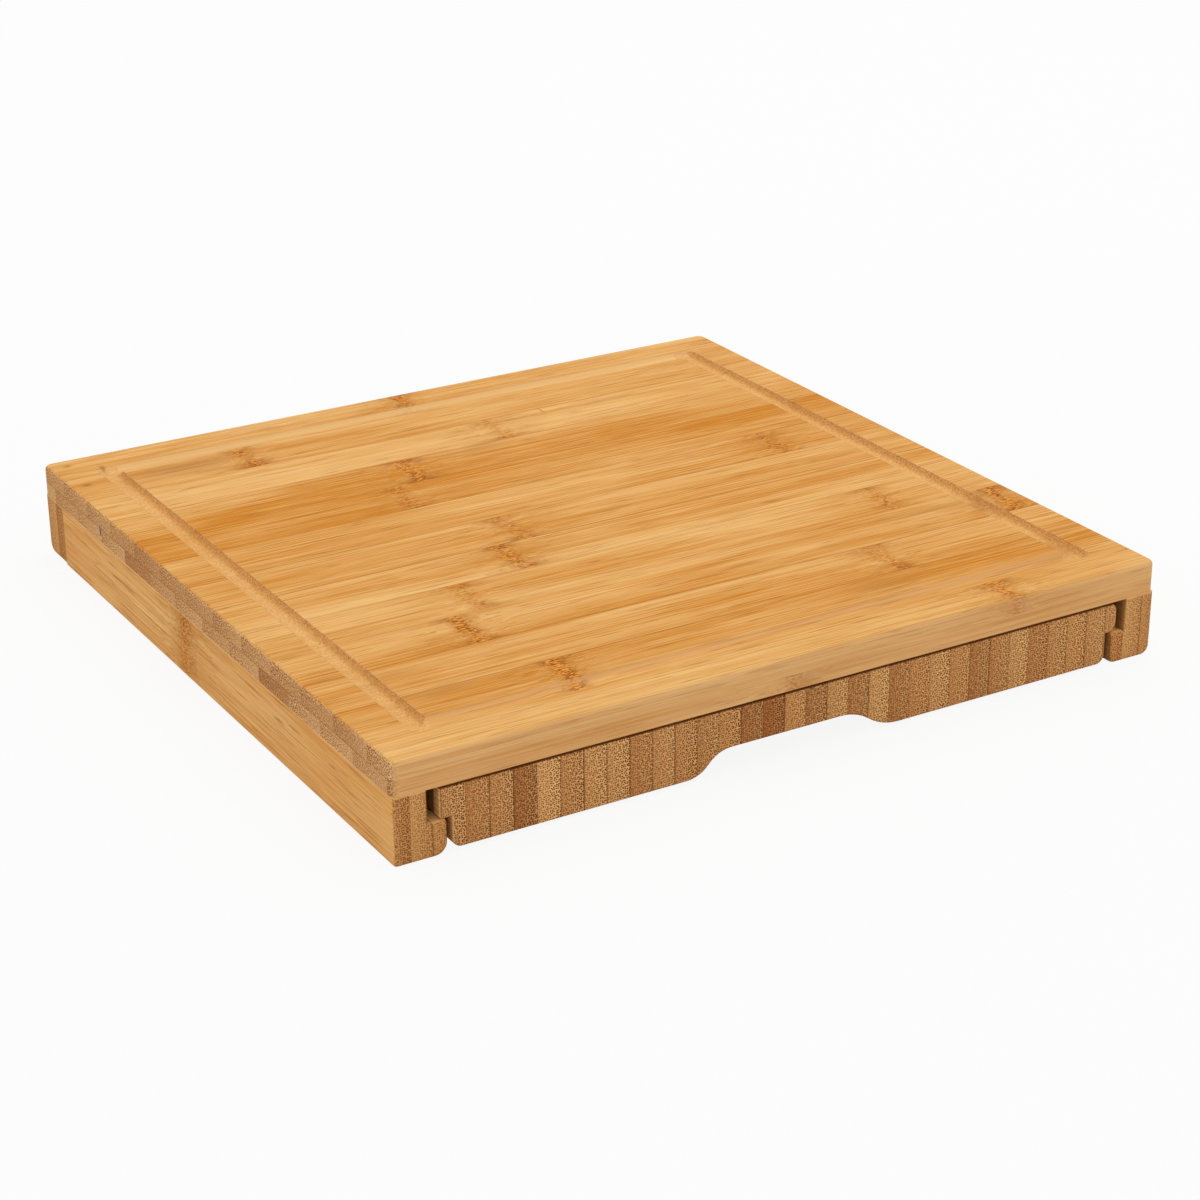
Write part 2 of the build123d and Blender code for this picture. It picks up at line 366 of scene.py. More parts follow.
hairs = near(tree, noise(tree, moved, *hair_noise), 0.5, 0.0, hair_width)
broken = ramp(tree, noise(tree, moved, *broken_noise), *broken_range)
results["Hairs"] = times(tree, hairs, broken)
results["Flecks"] = ramp(tree, noise(tree, moved, *fleck_noise), *fleck_range)
fibres_group = close_group(tree, end, results)

# %% [markdown]
# ## Vessels
#
# Where a strip is cut across, the vessels show as dark dots in a paler ground, about a
# millimetre apart. They are thick and close towards the cane's skin and sparse towards its
# hollow, so the dots grow from one side of the strip to the other. A Voronoi texture gives
# cells, and the distance to each cell's point gives a dot.

# %% The vessels group
vessel_spacing = 0.85
vessel_scatter = 0.65
vessel_shift = (13.7, 5.3, 0.0)
least_vessel, most_vessel = 0.18, 0.34
dot_edge = (0.14, -0.08)
luck_seed, luck_range = 3.0, (0.95, 1.25)
ground_noise = ((0.9, 0.9, 0.9), 3.0, 0.6)

inputs = [("Grain", "Vector"), *numbers("Strip", "Place")]
tree, given, end = open_group("vessels", inputs, numbers("Dots", "Ground"))
split = add(tree, "ShaderNodeSeparateXYZ", {0: given["Grain"]}).outputs
section = add(tree, "ShaderNodeCombineXYZ", {0: split["Y"], 1: split["Z"]}).outputs[0]
section = vectors(tree, "MULTIPLY_ADD", given["Strip"], vessel_shift, section)
feeds = {"Vector": section, "Scale": 1 / vessel_spacing, "Randomness": vessel_scatter}
cells = add(tree, "ShaderNodeTexVoronoi", feeds, voronoi_dimensions="2D").outputs["Distance"]
size = ramp(tree, given["Place"], 0.0, 1.0, least_vessel, most_vessel, smooth=False)
dots = ramp(tree, maths(tree, "SUBTRACT", cells, size), *dot_edge)
luck = chance(tree, maths(tree, "ADD", given["Strip"], luck_seed))
luck = ramp(tree, luck, 0.0, 1.0, *luck_range)
ground = ramp(tree, noise(tree, section, *ground_noise), *noise_range, smooth=False)
results = {"Dots": times(tree, dots, luck), "Ground": ground}
vessels_group = close_group(tree, end, results)

# %% [markdown]
# ## The colours of bamboo
#
# Two more groups turn these masks into colour: one for faces that run along the grain, and one
# for faces cut across it. Bamboo is golden where it is pale and amber where it is deep. Each
# strip has a tone of its own, because it comes from another cane. The marks are laid over the
# wood one by one, each as a colour with the share that it covers at its strongest.

# %% Lay marks over the wood
def lay_marks(tree, wood, given, marks):
    """The wood with each mark over it; a mark is its mask's name, its share and its colour."""
    for label, share, tint in marks:
        wood = mix(tree, times(tree, given[label], share), wood, tint)
    return wood


print("helper: lay_marks")

# %% [markdown]
# On a face along the grain, the strip's tone and the drawn-out noises say how amber the wood
# is. Hairlines, flecks, the glue and the ring's marks follow, and its speckled band lies on
# top. A Mix node holds its share between 0 and 1, so a strong ring can't go past its colour.

# %% The face group, along the grain
tone_share, tone_start = 0.8, -0.55
cloud_share, streak_share = 0.3, 0.7
ring_light = colour(238, 160, 64)
ring_dark = colour(148, 72, 4)
glue_brown = colour(158, 88, 18)
fibre_light = colour(252, 210, 136)
face_marks = [
    ("Hairs", 0.65, colour(170, 94, 16)),
    ("Flecks", 0.4, fibre_light),
    ("Halo", 0.5, colour(198, 126, 38)),
    ("Glue line", 0.6, glue_brown),
    ("Smear", 0.95, colour(146, 70, 3)),
]
ring_masks = ("Band", "Specks", "Smear", "Halo")

inputs = [("Tone", "Float"), ("Pale", "Color"), ("Deep", "Color")]
inputs += numbers(*fibre_masks, *ring_masks, "Glue line")
tree, given, end = open_group("bamboo_face", inputs, [("Colour", "Color")])
amber = maths(tree, "MULTIPLY_ADD", given["Tone"], tone_share, tone_start)
for label in ("Clouds", "Bands"):
    amber = maths(tree, "MULTIPLY_ADD", given[label], cloud_share, amber)
amber = maths(tree, "MULTIPLY_ADD", given["Streaks"], streak_share, amber, clamp=True)
wood = mix(tree, amber, given["Pale"], given["Deep"])
wood = lay_marks(tree, wood, given, face_marks)
speckled = mix(tree, given["Specks"], ring_dark, ring_light)
wood = mix(tree, given["Band"], wood, speckled)
face_group = close_group(tree, end, {"Colour": wood})

# %% [markdown]
# Cut across, a strip shows a pale ground with dark dots. Its tone can slope from one side of
# the strip to the other, some strips are redder, and the glue shows as a dark line.

# %% The cut group, across the grain
ground_share = 0.5
shade_offset = 0.25
reddish = colour(204, 118, 56)
glue_dark = colour(96, 54, 24)

inputs = [*numbers("Tone", "Red"), ("Pale", "Color"), ("Deep", "Color"), ("Dot", "Color")]
inputs += numbers("Place", "Slope", "Dots", "Ground", "Glue line")
tree, given, end = open_group("bamboo_cut", inputs, [("Colour", "Color")])
shade = maths(tree, "MULTIPLY_ADD", given["Ground"], ground_share, given["Tone"])
sloped = times(tree, maths(tree, "SUBTRACT", given["Place"], 0.5), given["Slope"])
shade = maths(tree, "ADD", shade, sloped)
shade = maths(tree, "SUBTRACT", shade, shade_offset, clamp=True)
wood = mix(tree, shade, given["Pale"], given["Deep"])
cut_marks = [("Red", 0.35, reddish), ("Dots", 0.85, given["Dot"]), ("Glue line", 0.75, glue_dark)]
cut_group = close_group(tree, end, {"Colour": lay_marks(tree, wood, given, cut_marks)})

# %% [markdown]
# ## Laying the wood into a piece
#
# Each piece says which of its axes runs along the grain and which runs across its strips.
# Object coordinates then give the same place in every piece, as all of them share one origin.
# A surface that faces along the grain is cut across it, so the part of its normal along the
# grain tells the two kinds of face apart.

# %% Where a point lies, and which way its surface faces
turned = (0.3, 0.8)


def grain_place(tree, along, across):
    """The point's millimetres by axis, and as a vector along, across and deep."""
    point = add(tree, "ShaderNodeTexCoord").outputs["Object"]
    point = vectors(tree, "MULTIPLY", point, (1000.0, 1000.0, 1000.0))
    split = add(tree, "ShaderNodeSeparateXYZ", {0: point}).outputs
    deep = ({"X", "Y", "Z"} - {along, across}).pop()
    feeds = {0: split[along], 1: split[across], 2: split[deep]}
    return split, add(tree, "ShaderNodeCombineXYZ", feeds).outputs[0]


def facing(tree, axis):
    """The part of the surface's normal along an axis, -1 to 1."""
    normal = add(tree, "ShaderNodeTexCoord").outputs["Normal"]
    return add(tree, "ShaderNodeSeparateXYZ", {0: normal}).outputs[axis]


def faces_either_way(tree, axis, limits=turned):
    """1 where the surface faces along an axis or back along it, 0 where it faces sideways."""
    return ramp(tree, maths(tree, "ABSOLUTE", facing(tree, axis)), *limits)


print("a face counts as cut across from", round(math.degrees(math.asin(turned[0]))), "degrees on")

# %% [markdown]
# The strips' own tones and rings are kept in a colour ramp with hard steps, one step a strip,
# which is read by the strip's number. A ramp holds 32 steps, which is just enough for the
# drawer. Read with soft steps, it lets one strip's tone run into the next.

# %% The table of strips
def strip_table(tree, strip, rows, soft=False):
    """Read a strip's four values, all 0 to 1, from a stepped colour ramp, or a soft one."""
    at = maths(tree, "DIVIDE", maths(tree, "ADD", strip, 0.5), float(len(rows)))
    table = add(tree, "ShaderNodeValToRGB", {0: at})
    table.color_ramp.interpolation = "LINEAR" if soft else "CONSTANT"
    start = 0.5 if soft else 0.0
    steps = table.color_ramp.elements
    while len(steps) < len(rows):
        steps.new(1.0)
    for number, row in enumerate(rows):
        steps[number].position = (number + start) / len(rows)
        steps[number].color = row
    split = add(tree, "ShaderNodeSeparateColor", {0: table.outputs["Color"]}).outputs
    print("a table of", len(rows), "strips")
    return split[0], split[1], split[2], table.outputs["Alpha"]


print("helper: strip_table")

# %% [markdown]
# Now the groups come together. Rings bend the fibres, fibres and rings colour the faces,
# vessels colour the cuts, and the share of cut wood mixes the two. The same masks give a
# height for the bump, so that the grain can just be felt. A piece brings its strip's two
# tones, for faces and for cuts, and a cut style, which is the slope of the tone over a strip
# and how plain the glue joints are.

# %% The wood of one piece
hair_depth = 0.5


def bamboo(tree, grain, cut_share, strips, tones, red, ring, tints, cut_style):
    """The colour of the wood at a point, and its relief for the bump."""
    strip, place, glue_line = strips["Strip"], strips["Place"], strips["Glue line"]
    rings = use(tree, cane_ring_group, {"Grain": grain, "Place": place, **ring})
    feeds = {"Grain": grain, "Strip": strip, "Bend": rings["Bend"]}
    fibres = use(tree, fibres_group, feeds)
    vessels = use(tree, vessels_group, {"Grain": grain, "Strip": strip, "Place": place})

    face_tone, cut_tone = tones
    feeds = {"Tone": face_tone, "Pale": tints["pale"], "Deep": tints["deep"]}
    feeds.update({name: fibres[name] for name in fibre_masks})
    feeds.update({name: rings[name] for name in ring_masks})
    face = use(tree, face_group, {**feeds, "Glue line": glue_line})["Colour"]

    slope, joint_share = cut_style
    cut_line = times(tree, glue_line, joint_share)
    feeds = {"Tone": cut_tone, "Red": red, "Place": place, "Slope": slope, "Glue line": cut_line}
    feeds.update({name: vessels[name] for name in ("Dots", "Ground")})
    feeds.update({"Pale": tints["cut pale"], "Deep": tints["cut deep"], "Dot": tints["dot"]})
    cut = use(tree, cut_group, feeds)["Colour"]

    smooth = maths(tree, "SUBTRACT", fibres["Streaks"], times(tree, fibres["Hairs"], hair_depth))
    pitted = maths(tree, "SUBTRACT", 1.0, vessels["Dots"])
    return mix(tree, cut_share, face, cut), mix(tree, cut_share, smooth, pitted)


print("helper: bamboo")

# %% [markdown]
# Oiled bamboo hardly shines. Its specular level is low, or the pale room would lay a grey
# sheen over the golden wood, and a cut face is rougher than a planed one.

# %% From wood to material
sheen = 0.02
grain_bump, grain_depth = 0.3, 0.0002
planed_roughness, cut_roughness = 0.5, 0.7


def start_finish(name):
    """A new material, and its empty tree."""
    material = bpy.data.materials.new(name)
    material.use_nodes = True
    return material, material.node_tree


def finish_wood(material, colour_socket, relief, cut_share):
    """Lead the wood's colour and relief to the shader."""
    tree = material.node_tree
    shader = tree.nodes["Principled BSDF"]
    shader.inputs["Specular IOR Level"].default_value = sheen
    feeds = {"Strength": grain_bump, "Distance": grain_depth, "Height": relief}
    bump = add(tree, "ShaderNodeBump", feeds)
    rough = ramp(tree, cut_share, 0.0, 1.0, planed_roughness, cut_roughness, smooth=False)
    feed(tree, shader.inputs["Base Color"], colour_socket)
    feed(tree, shader.inputs["Roughness"], rough)
    feed(tree, shader.inputs["Normal"], bump.outputs[0])
    print("finish", material.name, "has", len(tree.nodes), "nodes")


def dress(material, *names):
    """Give these pieces the finish."""
    for name in names:
        nodes[name].material_slots[0].material = material


print("helpers: start_finish, finish_wood and dress")

# %% [markdown]
# ## The top
#
# The top is two plies thick. Its upper ply's strips are about 26 mm wide and run from left to
# right. The table goes from the front strip to the rear one. It says how amber each strip is,
# how many millimetres from the left its ring is, how clearly that shows, and where the next
# ring is. A colour ramp only holds values from 0 to 1, so lengths are kept as shares of 400 mm.
# That is off the board, so a ring at 400 mm stands for none.

# %% The top's strips
table_span = 400.0
none = table_span
top_strip_width = 25.65
top_first_joint = -7.3
top_strips = [
    (0.14, 262, 0.90, none),
    (0.72, 85, 1.00, none),
    (0.50, 243, 0.60, none),
    (0.52, 73, 1.00, 320),
    (0.35, 87, 0.60, 278),
    (0.38, 120, 0.85, none),
    (0.48, 134, 0.65, none),
    (0.60, 276, 0.70, none),
    (0.94, 113, 0.65, none),
    (0.66, 129, 1.00, none),
    (0.26, 184, 0.60, none),
    (0.48, 77, 0.90, none),
    (0.34, 165, 1.00, none),
]
print("the top's", len(top_strips), "strips are each", top_strip_width, "mm wide")

# %% [markdown]
# These are the top's two colours on its faces, the two of its cut ends, and the colour of the
# vessels there. The ends of the real board are dusty and show little contrast.

# %% The top's colours
top_tints = {
    "pale": colour(241, 190, 119),
    "deep": colour(208, 129, 26),
    "cut pale": colour(246, 198, 138),
    "cut deep": colour(180, 119, 68),
    "dot": colour(150, 92, 46),
}
side_pale = colour(230, 180, 130)
side_share = 0.4
board_low, board_high = [1000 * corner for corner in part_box("top_board")]
print("the top reaches from", round(board_low.z, 1), "to", round(board_high.z, 1), "mm up")

# %% [markdown]
# A point below the joint between the plies belongs to the lower ply, whose strips are shifted.
# On the real board one strip's tone often runs into the next, where glue and oil soaked in, so
# the table is read twice, in hard steps and in soft ones, and the two are mixed.

# %% Which strip a point of the top is in, and its tone
upper_ply = 6.9
joint_blur = 0.05
lower_shift = 14.5
soft_share = 0.65

top_finish, tree = start_finish("bamboo_top")
point, grain = grain_place(tree, "X", "Y")
ply_joint = board_high.z - upper_ply
lower = ramp(tree, point["Z"], ply_joint + joint_blur, ply_joint - joint_blur, smooth=False)
across = maths(tree, "MULTIPLY_ADD", lower, lower_shift, point["Y"])
first_joint = board_low.y + top_first_joint
feeds = {"Across": across, "Width": top_strip_width, "First joint": first_joint}
strips = use(tree, strips_group, feeds)
rows = [
    (tone, ring / table_span, shows, after / table_span)
    for tone, ring, shows, after in top_strips
]
tone, ring, shows, after = strip_table(tree, strips["Strip"], rows)
between = maths(tree, "SUBTRACT", maths(tree, "ADD", strips["Strip"], strips["Place"]), 0.5)
soft_tone, _, _, _ = strip_table(tree, between, rows, soft=True)
tone = ramp(tree, soft_share, 0.0, 1.0, tone, soft_tone, smooth=False)
print("the lower ply starts", round(ply_joint, 1), "mm above the table")

# %% [markdown]
# Of the lower ply only the edges and the underside show. Its strips' tones are a row of
# digits, from 0, pale, to 9, dark, which follows the real board's left end. Each strip's ring
# lies a fixed step further on than the last one's, and starts again from the left after that.

# %% The lower ply's strips
lower_tones = "54337343473343"
front_lower_ring = 0.40
ring_step = 0.37
lower_shows = 1.2

lower_ring = maths(tree, "MULTIPLY_ADD", strips["Strip"], ring_step, front_lower_ring)
lower_ring = maths(tree, "FRACT", lower_ring)
rows = [(int(digit) / 9, 0.0, 0.0, 1.0) for digit in lower_tones]
lower_tone, _, _, _ = strip_table(tree, strips["Strip"], rows)


def by_ply(upper_value, lower_value):
    """The upper ply's value above the joint between the plies, and the lower ply's below it."""
    feeds = {"Factor": lower, "A": upper_value, "B": lower_value}
    return add(tree, "ShaderNodeMix", feeds).outputs["Result"]


print("the front strip's lower ring is", front_lower_ring * table_span, "mm from the left")

# %% [markdown]
# A strip is seldom even from one joint to the next, so its tone also leans a little to one
# side by chance. Then all of it goes into the wood. The long sides are a little paler than the
# top, and the glue between the plies shows as a faint line at the ends.

# %% The top's wood
lean_seed = 57.0
most_lean = 0.8
cut_tone_share, cut_tone_start = 0.4, 0.3
ply_line_half_width, ply_line_share = 0.4, 0.5
top_cut_style = (0.0, 0.3)

leaning = maths(tree, "SUBTRACT", chance(tree, maths(tree, "ADD", strips["Strip"], lean_seed)), 0.5)
leaning = times(tree, leaning, maths(tree, "SUBTRACT", strips["Place"], 0.5))
tone = maths(tree, "MULTIPLY_ADD", leaning, most_lean, tone)
cut_tone = maths(tree, "MULTIPLY_ADD", tone, cut_tone_share, cut_tone_start)
tones = (by_ply(tone, lower_tone), by_ply(cut_tone, lower_tone))
shows = by_ply(shows, lower_shows)
ring = maths(tree, "MULTIPLY_ADD", by_ply(ring, lower_ring), table_span, board_low.x)
after = maths(tree, "MULTIPLY_ADD", after, table_span, board_low.x)
cut_share = faces_either_way(tree, "X")
rings = {"Ring": ring, "Next ring": after, "Strength": shows, "Reach": 1.0}
finish = (0.0, rings, top_tints, top_cut_style)
wood, relief = bamboo(tree, grain, cut_share, strips, tones, *finish)
wood = mix(tree, times(tree, faces_either_way(tree, "Y"), side_share), wood, side_pale)
ply_line = near(tree, point["Z"], ply_joint, 0.0, ply_line_half_width)
wood = mix(tree, times(tree, ply_line, ply_line_share, cut_share), wood, glue_brown)
print("the top's wood has", len(tree.nodes), "nodes so far")

# %% [markdown]
# The juice groove is milled after glueing. Where the cutter ran across the grain, at the left
# and the right, it left a paler, speckled cut, with painted shade on the wall that faces left.
# A mask finds the groove: below the top face, but not out at the board's rounded edges.

# %% Where the groove is, and where it crosses the grain
groove_inset = 21.5
groove_reach, groove_fade = 4.6, 0.6
cut_starts, cut_is_full = 0.1, 0.5
safe_edge, safe_fade = 9.0, 2.0
groove_x = board_high.x - groove_inset
inside_x, inside_y = board_high.x - safe_edge, board_high.y - safe_edge

milled = ramp(tree, point["Z"], board_high.z - cut_starts, board_high.z - cut_is_full)
from_edge_x = near(tree, point["X"], 0.0, inside_x, inside_x + safe_fade)
from_edge_y = near(tree, point["Y"], 0.0, inside_y, inside_y + safe_fade)
milled = times(tree, milled, times(tree, from_edge_x, from_edge_y))
from_centre = maths(tree, "ABSOLUTE", point["X"])
crossing = near(tree, from_centre, groove_x, groove_reach, groove_reach + groove_fade)
crossing = times(tree, crossing, milled)
print("the groove crosses the grain", round(groove_x, 1), "mm left and right of the middle")

# %% [markdown]
# Where the cutter ran along the grain the groove is smooth and only a little lighter, most of
# all on its outer walls, which catch the light.

# %% The groove's milled wood
speckle_noise, speckle_range = ((1.1, 1.3, 1.3), 2.0, 0.6), (0.4, 0.6)
left_wall, outer_wall = (-0.15, -0.6), (-0.1, -0.5)
milled_share, wall_share, crossing_share = 0.2, 0.6, 0.6
milled_tint, wall_tint = colour(242, 198, 130), colour(252, 212, 146)

speckle = ramp(tree, noise(tree, grain, *speckle_noise), *speckle_range)
milled_pale = mix(tree, speckle, colour(222, 164, 92), colour(244, 196, 130))
# Painted shade: a darker copy of the milled speckle for the groove walls that face left.
milled_shaded = mix(tree, speckle, colour(194, 122, 50), colour(226, 164, 92))
left_wall_shade = ramp(tree, facing(tree, "X"), *left_wall)
milled_wood = mix(tree, left_wall_shade, milled_pale, milled_shaded)
outwards = times(tree, facing(tree, "Y"), maths(tree, "SIGN", point["Y"]))
long_wall = times(tree, ramp(tree, outwards, *outer_wall), milled)
wood = mix(tree, times(tree, milled, milled_share), wood, milled_tint)
wood = mix(tree, times(tree, long_wall, wall_share), wood, wall_tint)
wood = mix(tree, times(tree, crossing, crossing_share), wood, milled_wood)
print("with its groove the top has", len(tree.nodes), "nodes")

# %% [markdown]
# Bamboo is also stained here and there, where the cane was hurt or the oil went in deeper. The
# tables give each stain's place from the left and the front, its reach along and across the
# grain, and how strong it is. The last two stains are in the groove at the right. Three tiny
# knots lie by the far left corner, and a short mark lies in the eleventh strip.

# %% Tables of stains and knots
stain_brown = colour(186, 126, 64)
stains = [
    (50, 290, 24, 8, 0.75),
    (42, 42, 11, 5, 0.5),
    (226, 36, 15, 6, 0.5),
    (165, 244, 10, 5, 0.45),
    (288, 87, 20, 2.5, 0.65),
    (30, 62, 12, 4, 0.3),
    (308, 82, 4, 9, 0.8),
    (308, 34, 3, 10, 0.6),
]
knot_brown = colour(144, 96, 44)
knots = [
    (8, 317, 1.6, 1.1, 0.6),
    (20, 308, 1.2, 2.4, 0.6),
    (7, 292, 1.9, 1.3, 0.6),
    (212, 272, 0.5, 2.6, 0.6),
]
print("the top has", len(stains), "stains and", len(knots), "knots")

# %% [markdown]
# Each is an oval that fades along a bell curve. Noise drawn out along the grain makes a
# stain's edge ragged, while a knot stays clean.

# %% Lay the stains and knots on the top
def oval(tree, grain, across, deep, reach_across, reach_deep):
    """1 at this place of the top, and falling to 0.37 at the reach of an oval round it."""
    middle = (board_low.x + across, board_low.y + deep, 0.0)
    away = vectors(tree, "SUBTRACT", grain, middle)
    away = vectors(tree, "MULTIPLY", away, (1 / reach_across, 1 / reach_deep, 0.0))
    length = add(tree, "ShaderNodeVectorMath", {0: away}, operation="LENGTH").outputs["Value"]
    return bell(tree, length, 1.0)


mark_depth = 3.0
ragged_cells, ragged_range, least_ragged = (0.04, 0.5, 0.5), (0.3, 0.6), 0.4

mark_end = board_high.z - mark_depth
on_top = ramp(tree, point["Z"], mark_end - 1.0, mark_end)
ragged = ramp(tree, noise(tree, grain, ragged_cells), *ragged_range, least_ragged, 1.0)
ragged = times(tree, ragged, on_top)
for marks, edge, tint in ((stains, ragged, stain_brown), (knots, on_top, knot_brown)):
    for x, y, reach_x, reach_y, share in marks:
        mark = oval(tree, grain, x, y, reach_x, reach_y)
        wood = mix(tree, times(tree, mark, share, edge), wood, tint)
print("with its marks the top has", len(tree.nodes), "nodes")

# %% [markdown]
# The left end has dried out a little, and a small crack stands open in the lower ply. It is
# about a millimetre wide, so colour is enough: a dark slit of painted shade inside the crack,
# with dry, grey wood around it. Each pair says how far from the crack's middle the mark is
# whole, and how far out it has faded.

# %% The crack at the left end
crack_y = board_low.y + 261.0
crack_z = board_low.z + 5.0
crack_reach, crack_shade_reach, dry_reach = (1.6, 2.6), (0.3, 0.7), (0.8, 2.0)
left_end = (0.0, -0.5)
dry_share = 0.5
dry_tint, crack_shade_tint = colour(178, 160, 138), colour(66, 58, 60)

tall = near(tree, point["Z"], crack_z, *crack_reach)
tall = times(tree, tall, cut_share, ramp(tree, facing(tree, "X"), *left_end))
# The dark slit is painted shade inside the open crack.
crack_shade = near(tree, point["Y"], crack_y, *crack_shade_reach)
dry_wood = times(tree, near(tree, point["Y"], crack_y, *dry_reach), dry_share)
wood = mix(tree, times(tree, tall, dry_wood), wood, dry_tint)
wood = mix(tree, times(tree, tall, crack_shade), wood, crack_shade_tint)
finish_wood(top_finish, wood, relief, cut_share)
dress(top_finish, "top_board")

# %% [markdown]
# ## The rails
#
# Each side rail is glued up from three strips side by side, with the grain from front to back.
# Its front end shows them cut across. The outer face is one strip, so its ring is a band of
# the rail's whole height. The rear rail has two strips, and its grain runs from side to side.
# A row holds a strip's tone, where its ring is, how clearly that shows, and how red it is.

# %% The rails' strips and colours
rail_ring = 176.5
rail_ring_reach = 1.6
side_strip_width = 8.3
rear_strip_width = 12.0
left_strips = [(0.55, rail_ring, 0.75, 0.0), (0.35, 90, 0.6, 0.0), (0.45, 210, 0.6, 0.2)]
right_strips = [(0.4, 120, 0.6, 0.5), (0.25, 60, 0.6, 0.0), (0.45, 230, 0.9, 0.1)]
rear_strips = [(0.5, 140, 0.6, 0.2), (0.3, 190, 0.8, 0.0)]
rail_tints = {
    "pale": colour(252, 204, 134),
    "deep": colour(223, 151, 70),
    "cut pale": colour(234, 178, 112),
    "cut deep": colour(176, 110, 58),
    "dot": colour(140, 82, 38),
}
print("the left rail's ring is", rail_ring, "mm from its front end")

# %% [markdown]
# The three rails differ only in their direction and their strips, so one function makes all
# three finishes. A painted highlight runs along the upper edge. The inner faces of the
# drawer's channel get a painted shade, which keeps the gaps beside the drawer dark.

# %% One finish for each rail
highlight_from, highlight_to = 0.7, 0.1
highlight_share = 0.5
painted_shade = colour(78, 36, 8)
painted_shade_share = 0.7
channel_wall = (0.4, 0.8)
rail_cut_style = (0.1, 0.8)


def rail_finish(name, along, across, width, first_joint, start, inward, rows):
    """A rail's finish; inward is the way to the drawer along the axis across the strips."""
    material, tree = start_finish(name)
    point, grain = grain_place(tree, along, across)
    feeds = {"Across": point[across], "Width": width, "First joint": first_joint}
    strips = use(tree, strips_group, feeds)
    rows = [(tone, at / table_span, shows, red) for tone, at, shows, red in rows]
    tone, ring, shows, red = strip_table(tree, strips["Strip"], rows)
    ring = maths(tree, "MULTIPLY_ADD", ring, table_span, start)
    cut_share = faces_either_way(tree, along)
    rings = {"Ring": ring, "Next ring": none, "Strength": shows, "Reach": rail_ring_reach}
    finish = (red, rings, rail_tints, rail_cut_style)
    wood, relief = bamboo(tree, grain, cut_share, strips, (tone, tone), *finish)
    # A painted highlight along the rail's upper edge.
    top_edge_highlight = ramp(tree, point["Z"], board_low.z - highlight_from, board_low.z - highlight_to)
    wood = mix(tree, times(tree, top_edge_highlight, highlight_share), wood, fibre_light)
    # Painted shade on the inner faces of the drawer's channel.
    channel_shade = ramp(tree, times(tree, facing(tree, across), inward), *channel_wall)
    wood = mix(tree, times(tree, channel_shade, painted_shade_share), wood, painted_shade)
    finish_wood(material, wood, relief, cut_share)
    return material


print("helper: rail_finish")

# %% [markdown]
# The first joint lies just outside each rail, so that the joints fall where the end grain at
# the front corners, and at the back left corner, shows them.

# %% Dress the rails
left_joint, right_joint, rear_joint = -167.1, 142.4, 138.5
side = ("Y", "X", side_strip_width)
rear = ("X", "Y", rear_strip_width)
left_place = (left_joint, board_low.y, 1.0)
right_place = (right_joint, board_low.y, -1.0)
rear_place = (rear_joint, board_low.x, -1.0)
dress(rail_finish("bamboo_left_rail", *side, *left_place, left_strips), "left_rail")
dress(rail_finish("bamboo_right_rail", *side, *right_place, right_strips), "right_rail")
dress(rail_finish("bamboo_rear_rail", *rear, *rear_place, rear_strips), "rear_rail")
print("the rails hold", len(left_strips + right_strips + rear_strips), "strips")

# %% [markdown]
# ## The drawer
#
# The drawer is a slab of strips on edge, 9.3 mm wide, with the grain from front to back. Its
# front is all end grain, and every strip has its own tone there: the table gives it from left
# to right, as a digit from 0, pale, to 9, dark, and a second digit for how red it is.

# %% The drawer's strips and colours
drawer_strip_width = 9.3
drawer_first_joint = -146.8
drawer_tones = "45472433544547846463643465354344"
drawer_reds = "14310310413031340000150402041411"
drawer_tints = {
    "pale": colour(246, 195, 122),
    "deep": colour(210, 138, 58),
    "cut pale": colour(254, 196, 126),
    "cut deep": colour(166, 102, 54),
    "dot": colour(98, 56, 26),
}
drawer_low, drawer_high = [1000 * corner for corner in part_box("drawer")]
print("the drawer is", round(drawer_high.x - drawer_low.x, 1), "mm wide")

# %% [markdown]
# Nothing fixes where the rings of the drawer's strips lie, so they go by chance, one every
# 26 cm. The tone slopes over each strip, which makes the front look like a row of slats. The
# flanges' front corners are sanded round on the real one, so their sides show end grain too.

# %% The drawer's wood
ring_seed = 7.0
ring_distance = 260.0
drawer_ring_shows = 0.7
drawer_cut_style = (-0.35, 1.0)
sanded_to, sanded_blur = drawer_low.y + 4.2, 0.5

drawer_finish, tree = start_finish("bamboo_drawer")
point, grain = grain_place(tree, "Y", "X")
feeds = {"Across": point["X"], "Width": drawer_strip_width, "First joint": drawer_first_joint}
strips = use(tree, strips_group, feeds)
rows = [(int(tone) / 9, int(red) / 9, 0.0, 1.0) for tone, red in zip(drawer_tones, drawer_reds)]
tone, red, _, _ = strip_table(tree, strips["Strip"], rows)
luck = chance(tree, maths(tree, "ADD", strips["Strip"], ring_seed))
ring = maths(tree, "MULTIPLY_ADD", luck, ring_distance, board_low.y)
after = maths(tree, "ADD", ring, ring_distance)
corner = ramp(tree, point["Y"], sanded_to + sanded_blur, sanded_to - sanded_blur)
sideways_share = faces_either_way(tree, "X", channel_wall)
rounded = times(tree, corner, sideways_share)
cut_share = maths(tree, "MAXIMUM", faces_either_way(tree, "Y"), rounded)
rings = {"Ring": ring, "Next ring": after, "Strength": drawer_ring_shows, "Reach": 1.0}
finish = (red, rings, drawer_tints, drawer_cut_style)
wood, relief = bamboo(tree, grain, cut_share, strips, (tone, tone), *finish)
print("the drawer's wood has", len(tree.nodes), "nodes so far")

# %% [markdown]
# The drawer's outer sides get a painted shade like the channel that they run in, most of all
# near the front, and a painted light on their sanded front corners. Its top edge gets a thin
# painted shadow where it runs under the board.

